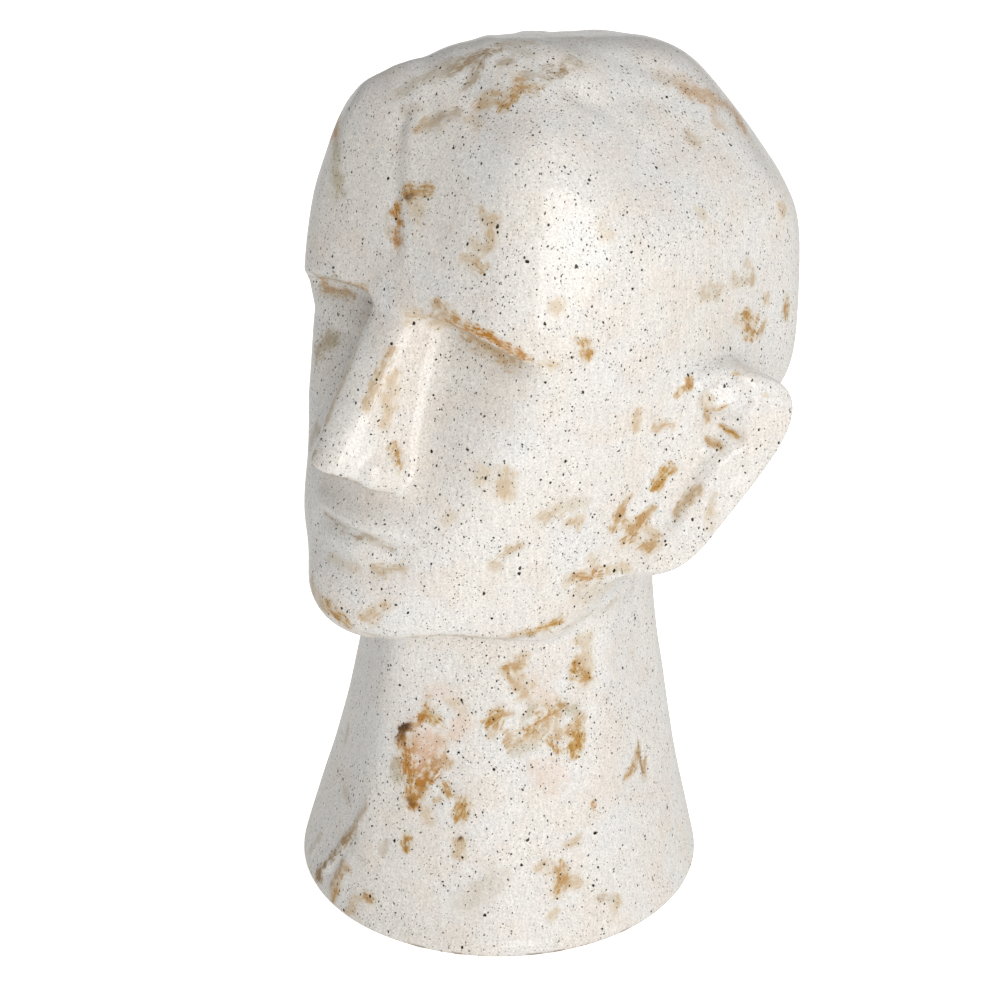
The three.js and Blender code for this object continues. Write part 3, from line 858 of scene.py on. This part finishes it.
# Specks: one in each random cell near enough to the surface, of random size, kept by Share
def makeSpeckGroup():
    inputs = [
        ("Vector", "NodeSocketVector", None), ("Spacing", "NodeSocketFloat", 3.0),
        ("Size", "NodeSocketFloat", 0.4), ("Share", "NodeSocketFloat", 1.0),
    ]
    outputs = [("Mask", "NodeSocketFloat"), ("Shade", "NodeSocketFloat")]
    tree, given, made = newGroup("specks", inputs, outputs)
    scale = maths(tree, "DIVIDE", metre, given["Spacing"])
    inputs = {"Vector": given["Vector"], "Scale": scale, "Randomness": 1.0}
    cells = addNode(tree, "ShaderNodeTexVoronoi", inputs)
    parts = addNode(tree, "ShaderNodeSeparateColor", {"Color": cells.outputs["Color"]})
    away = maths(tree, "MULTIPLY", cells.outputs["Distance"], given["Spacing"])
    grown = between(tree, parts.outputs[1], *speckGrowth)
    reach = maths(tree, "MULTIPLY", given["Size"], grown)
    inside = maths(tree, "SUBTRACT", 1.0, maths(tree, "DIVIDE", away, reach))
    there = maths(tree, "LESS_THAN", parts.outputs[0], given["Share"])
    mask = maths(tree, "MULTIPLY", mapRange(tree, inside, 0.0, speckEdge), there)
    tree.links.new(mask, made["Mask"])
    tree.links.new(parts.outputs[2], made["Shade"])
    return tree


mottle = {"detail": 3.0, "roughness": 0.55, "range": (0.34, 0.66)}


# Mottle: cloudy variation from 0 to 1
def makeMottleGroup():
    inputs = [("Vector", "NodeSocketVector", None), ("Size", "NodeSocketFloat", 30.0)]
    tree, given, made = newGroup("mottle", inputs, [("Value", "NodeSocketFloat")])
    scale = maths(tree, "DIVIDE", metre, given["Size"])
    inputs = {
        "Vector": given["Vector"], "Scale": scale,
        "Detail": mottle["detail"], "Roughness": mottle["roughness"],
    }
    cloud = addNode(tree, "ShaderNodeTexNoise", inputs)
    tree.links.new(mapRange(tree, cloud.outputs["Fac"], *mottle["range"]), made["Value"])
    return tree


speckGroup = makeSpeckGroup()
mottleGroup = makeMottleGroup()


# Places a group in a material, with its own values
def useGroup(tree, group, inputs):
    return addNode(tree, "ShaderNodeGroup", inputs, node_tree=group).outputs


# New material, its node tree and its shader
def newMaterial(name):
    material = bpy.data.materials.new(name)
    material.use_nodes = True
    tree = material.node_tree
    shader = next(node for node in tree.nodes if node.type == "BSDF_PRINCIPLED")
    return material, tree, shader


# Glaze: off-white with warm and cool clouds, brown wash where it is rubbed, dark iron specks
glaze = {
    "cream": (0.80, 0.764, 0.715), "cool": (0.79, 0.772, 0.75), "peach": (0.77, 0.66, 0.56),
    "blush": 0.36,  # how much peach there is
    # clouds: size, and a shift that sets their patterns apart
    "clouds": (34.0, (0, 0, 0)), "blushClouds": (21.0, (3, 1, 2)), "crowds": (26.0, (7, 5, 1)),
    # noises: size, detail, roughness; a way draws one out where it is below 1
    "brush": (1.3, 2.0, 0.6), "brushWay": (1.0, 1.0, 0.12), "brushSwing": 0.34,
    "grain": (0.9, 2.0, 0.75), "grainSwing": 0.95,
    "streak": (0.9, 2.0, 0.6), "streakWay": (1.0, 0.16, 1.0),
    "patch": (3.4, 2.0, 0.6),
    # rubbed patches
    "breakUp": (1.2, 1.0, 1.5),  # by streaks, grain and patches
    "coreBreakUp": (0.9, 0.6),  # by streaks and patches
    "unbroken": (0.96, 0.8),  # strokes stronger than this are hardly broken up
    "wash": (0.0, 0.88), "washEdge": 0.25, "washLeast": 0.22,
    "halo": 0.2, "haloEdge": 0.7,
    "full": (0.6, 1.0, 0.72),  # a wash grows from the last value to 1 between these strengths
    "core": (0.42, 1.1), "coreStrong": (0.3, 0.9), "coreCover": 0.95,
    "deep": (0.78, 0.56, 0.3),  # what is left of the tint's red, green and blue in a patch's middle
    # brown line at the foot's edge, with breaks
    "rim": (0.16, 0.10, 0.06), "rimHeights": (2.6, 1.3), "rimCover": 0.8,
    "rimNoise": (14.0, 1.0, 0.5), "rimBreaks": (0.5, 0.6),
    # iron specks: spacing, size, share, faintest, darkest
    "speck": (0.015, 0.009, 0.005),
    "specks": [
        (1.25, 0.24, 1.0, 0.55, 0.9), (1.75, 0.335, 0.97, 0.88, 1.0), (4.2, 0.54, 0.85, 0.96, 1.0)],
    "speckWay": (1.0, 1.0, 0.75),  # they are longer up and down
    "sparse": 0.4,  # share of them that is left between the crowds
    "warp": (1.6, 0.0, 0.5), "warpReach": 1.1,
    # gloss
    "roughness": 0.3, "rubbedRoughness": 0.45, "roughnessSwing": 0.1, "specular": 0.18,
    "coat": 0.6, "coatRoughness": 0.12, "coatLeft": 0.12, "coatWash": 0.8,
    # fine relief in millimetres: waves of the glaze, brush marks, rubbed places and their streaks
    "wave": (9.0, 2.0, 0.5), "waveRelief": 0.3,
    "brushRelief": 0.06, "rubbedRelief": -0.1, "streakRelief": 0.12,
}


def makeGlaze():
    material, tree, shader = newMaterial("speckledGlaze")
    place = addNode(tree, "ShaderNodeTexCoord").outputs["Object"]

    def attribute(name, output):
        return addNode(tree, "ShaderNodeAttribute", attribute_name=name).outputs[output]

    def scaled(vector, amount):
        inputs = {0: vector, "Scale": amount}
        return addNode(tree, "ShaderNodeVectorMath", inputs, operation="SCALE").outputs[0]

    def times(a, b):
        return maths(tree, "MULTIPLY", a, b)

    def larger(a, b):
        return maths(tree, "MAXIMUM", a, b)

    def swing(value, amount):
        return times(maths(tree, "SUBTRACT", value, 0.5), amount)

    def total(first, *others):
        for other in others:
            first = maths(tree, "ADD", first, other)
        return first

    def clouds(size, shift):
        moved = vectorMaths(tree, "ADD", place, shift)
        return useGroup(tree, mottleGroup, {"Vector": moved, "Size": size})["Value"]

    # clouds of the glaze itself, its brush marks and its grain
    colour = mixColour(tree, clouds(*glaze["clouds"]), glaze["cool"], glaze["cream"])
    blush = maths(tree, "POWER", clouds(*glaze["blushClouds"]), 2.0)
    colour = mixColour(tree, times(blush, glaze["blush"]), colour, glaze["peach"])
    brush = noise(tree, vectorMaths(tree, "MULTIPLY", place, glaze["brushWay"]), *glaze["brush"])
    grain = noise(tree, place, *glaze["grain"])
    colour = scaled(colour, total(1.0, swing(brush, glaze["brushSwing"]), swing(grain, glaze["grainSwing"])))

    # rubbed patches: a pale wash with a darker middle, both broken up along the stroke
    stroke = scaled(attribute("strokePlace", "Vector"), 1 / metre)
    streak = noise(tree, vectorMaths(tree, "MULTIPLY", stroke, glaze["streakWay"]), *glaze["streak"])
    patch = noise(tree, place, *glaze["patch"])
    painted = attribute("rubCover", "Fac")
    strong = attribute("rubStrength", "Fac")
    byStreak, byGrain, byPatch = glaze["breakUp"]
    amount = total(painted, swing(streak, byStreak), swing(grain, byGrain), swing(patch, byPatch))
    strongest, boost = glaze["unbroken"]
    amount = total(amount, mapRange(tree, strong, strongest, 1.0, 0.0, boost))
    wash = times(mapRange(tree, amount, *glaze["wash"]), mapRange(tree, painted, 0.0, glaze["washEdge"]))
    wash = times(wash, between(tree, strong, glaze["washLeast"], 1.0))
    halo = times(times(mapRange(tree, painted, 0.0, glaze["haloEdge"]), strong), glaze["halo"])
    wash = larger(wash, halo)
    byStreak, byPatch = glaze["coreBreakUp"]
    core = mapRange(tree, total(amount, swing(streak, byStreak), swing(patch, byPatch)), *glaze["core"])
    core = times(core, mapRange(tree, strong, *glaze["coreStrong"]))
    tint = attribute("rubTint", "Color")
    weak, whole, least = glaze["full"]
    fullness = mapRange(tree, strong, weak, whole, least, 1.0)
    colour = mixColour(tree, times(wash, fullness), colour, tint)
    deepTint = vectorMaths(tree, "MULTIPLY", tint, glaze["deep"])
    colour = mixColour(tree, times(core, glaze["coreCover"]), colour, deepTint)

    # brown line where the glaze ends at the foot's edge
    height = addNode(tree, "ShaderNodeSeparateXYZ", {0: place}).outputs["Z"]
    rim = mapRange(tree, height, *(level / metre for level in glaze["rimHeights"]))
    rim = times(rim, mapRange(tree, noise(tree, place, *glaze["rimNoise"]), *glaze["rimBreaks"]))
    colour = mixColour(tree, times(rim, glaze["rimCover"]), colour, glaze["rim"])

    # iron specks of three sizes, in crowds
    crowd = clouds(*glaze["crowds"])
    warp = noise(tree, place, *glaze["warp"], output="Color")
    warped = vectorMaths(tree, "ADD", place, scaled(warp, glaze["warpReach"] / metre))
    warped = vectorMaths(tree, "MULTIPLY", warped, glaze["speckWay"])
    dots = 0.0
    for spacing, size, share, faint, dark in glaze["specks"]:
        here = between(tree, crowd, share * glaze["sparse"], share)
        inputs = {"Vector": warped, "Spacing": spacing, "Size": size, "Share": here}
        layer = useGroup(tree, speckGroup, inputs)
        dots = larger(dots, times(layer["Mask"], between(tree, layer["Shade"], faint, dark)))
    colour = mixColour(tree, dots, colour, glaze["speck"])
    tree.links.new(colour, shader.inputs["Base Color"])

    # gloss: rubbed places are duller
    rough = between(tree, wash, glaze["roughness"], glaze["rubbedRoughness"])
    tree.links.new(total(rough, swing(patch, glaze["roughnessSwing"])), shader.inputs["Roughness"])
    bare = larger(times(wash, glaze["coatWash"]), dots)
    coat = between(tree, bare, glaze["coat"], glaze["coat"] * glaze["coatLeft"])
    tree.links.new(coat, shader.inputs["Coat Weight"])
    shader.inputs["Coat Roughness"].default_value = glaze["coatRoughness"]
    shader.inputs["Specular IOR Level"].default_value = glaze["specular"]

    # fine relief
    rubbed = times(painted, strong)
    relief = times(noise(tree, place, *glaze["wave"]), glaze["waveRelief"])
    relief = total(relief, times(brush, glaze["brushRelief"]), times(rubbed, glaze["rubbedRelief"]))
    relief = total(relief, times(times(streak, rubbed), glaze["streakRelief"]))
    bump = addNode(tree, "ShaderNodeBump", {"Strength": 1.0, "Distance": 1 / metre, "Height": relief})
    tree.links.new(bump.outputs[0], shader.inputs["Normal"])
    return material


# Bare clay of the underside: sandy, matt, with the same kind of specks
biscuit = {
    "colour": (0.50, 0.40, 0.29), "light": (0.60, 0.50, 0.39), "speck": (0.10, 0.065, 0.04),
    "cloudSize": 14.0, "specks": {"Spacing": 2.6, "Size": 0.35, "Share": 0.8}, "roughness": 0.85,
    "grain": (0.8, 3.0, 0.7), "grainRelief": 0.25,
}


def makeBiscuit():
    material, tree, shader = newMaterial("bareClay")
    place = addNode(tree, "ShaderNodeTexCoord").outputs["Object"]
    cloud = useGroup(tree, mottleGroup, {"Vector": place, "Size": biscuit["cloudSize"]})["Value"]
    colour = mixColour(tree, cloud, biscuit["colour"], biscuit["light"])
    dots = useGroup(tree, speckGroup, {"Vector": place, **biscuit["specks"]})["Mask"]
    colour = mixColour(tree, dots, colour, biscuit["speck"])
    tree.links.new(colour, shader.inputs["Base Color"])
    shader.inputs["Roughness"].default_value = biscuit["roughness"]
    inputs = {
        "Strength": 1.0, "Distance": biscuit["grainRelief"] / metre,
        "Height": noise(tree, place, *biscuit["grain"]),
    }
    tree.links.new(addNode(tree, "ShaderNodeBump", inputs).outputs[0], shader.inputs["Normal"])
    return material


sculptureMesh.materials.append(makeGlaze())
sculptureMesh.materials.append(makeBiscuit())
bareBelow = 0.35 / metre  # faces whose middle is lower than this are unglazed
heights = np.empty(len(sculptureMesh.polygons) * 3, np.float32)
sculptureMesh.polygons.foreach_get("center", heights)
sculptureMesh.polygons.foreach_set("material_index", (heights[2::3] < bareBelow).astype(np.int32))
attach(sculpture, "root")
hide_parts("head_sculpture")
print("materials made")

# Floor, lights and the room's own light
studio = {
    "floorSize": 16000.0, "floorColour": (0.86, 0.86, 0.86), "floorRoughness": 0.8,
    "floorSeen": 0.85, "floorTint": (1.0, 0.95, 0.87),  # added where the camera sees the floor
    "floorGlow": 0.16,  # bounced up by the floor beyond its own colour
    "roomLow": 0.27, "roomHigh": 1.02, "backdrop": 1.1,  # level, overhead, and behind the floor's edge
    "roomSides": (0.46, 1.36),  # share of it from the dark side and from the bright one
    "roomTurn": 115,  # turn of the bright side
    "roomWarm": (1.0, 0.98, 0.95), "roomCool": (0.94, 0.97, 1.0),
    "lights": {  # turn, lift, distance, width, height, watts, colour
        "key": (60, 16, 1600, 900, 1100, 12.0, (1.0, 0.998, 0.99)),
        "rim": (165, 12, 1700, 500, 1300, 1.0, (1.0, 1.0, 1.0)),
    },
    "lightAim": (0.0, 0.0, 200.0),
}


def makeFloor():
    half = studio["floorSize"] / 2 / metre
    mesh = bpy.data.meshes.new("floor")
    corners = [(-half, -half, 0), (half, -half, 0), (half, half, 0), (-half, half, 0)]
    mesh.from_pydata(corners, [], [(0, 1, 2, 3)])
    floor = bpy.data.objects.new("floor", mesh)
    bpy.context.scene.collection.objects.link(floor)
    material, tree, shader = newMaterial("paleFloor")
    shader.inputs["Base Color"].default_value = (*studio["floorColour"], 1)
    shader.inputs["Roughness"].default_value = studio["floorRoughness"]
    shader.inputs["Emission Color"].default_value = (*studio["floorTint"], 1)
    seen = addNode(tree, "ShaderNodeLightPath").outputs["Is Camera Ray"]
    glow = maths(tree, "MAXIMUM", maths(tree, "MULTIPLY", seen, studio["floorSeen"]), studio["floorGlow"])
    tree.links.new(glow, shader.inputs["Emission Strength"])
    mesh.materials.append(material)
    return floor


def makeLights():
    aim = np.array(studio["lightAim"])
    for name, (turn, lift, distance, width, height, watts, colour) in studio["lights"].items():
        data = bpy.data.lights.new(name, "AREA")
        data.shape = "RECTANGLE"
        data.size, data.size_y = width / metre, height / metre
        data.energy = watts
        data.color = colour
        lamp = bpy.data.objects.new(name, data)
        lamp.visible_camera = False
        bpy.context.scene.collection.objects.link(lamp)
        right, up, back = viewAxes(turn, lift)
        placeObject(lamp, right, up, back, aim + back * distance)


# The room is brighter overhead, and white behind the floor's edge
def makeRoom():
    world = bpy.data.worlds.new("room")
    bpy.context.scene.world = world
    world.use_nodes = True
    tree = world.node_tree
    ground = next(node for node in tree.nodes if node.type == "BACKGROUND")
    way = addNode(tree, "ShaderNodeTexCoord").outputs["Generated"]
    parts = addNode(tree, "ShaderNodeSeparateXYZ", {0: way})
    upward = maths(tree, "POWER", maths(tree, "MAXIMUM", parts.outputs["Z"], 0.0), 2.0)
    light = between(tree, upward, studio["roomLow"], studio["roomHigh"])
    turn = np.radians(studio["roomTurn"])
    bright = (np.sin(turn), -np.cos(turn), 0.0)
    towards = addNode(tree, "ShaderNodeVectorMath", {0: way, 1: bright}, operation="DOT_PRODUCT")
    sides = mapRange(tree, towards.outputs["Value"], -1.0, 1.0, *studio["roomSides"], smooth=False)
    light = maths(tree, "MULTIPLY", light, sides)
    colour = mixColour(tree, upward, studio["roomWarm"], studio["roomCool"])
    tree.links.new(colour, ground.inputs["Color"])
    seen = addNode(tree, "ShaderNodeLightPath").outputs["Is Camera Ray"]
    strength = maths(tree, "MAXIMUM", light, maths(tree, "MULTIPLY", seen, studio["backdrop"]))
    tree.links.new(strength, ground.inputs["Strength"])


floor = makeFloor()
makeLights()
makeRoom()
bpy.context.scene.view_settings.view_transform = "Standard"
print("floor and lights made")
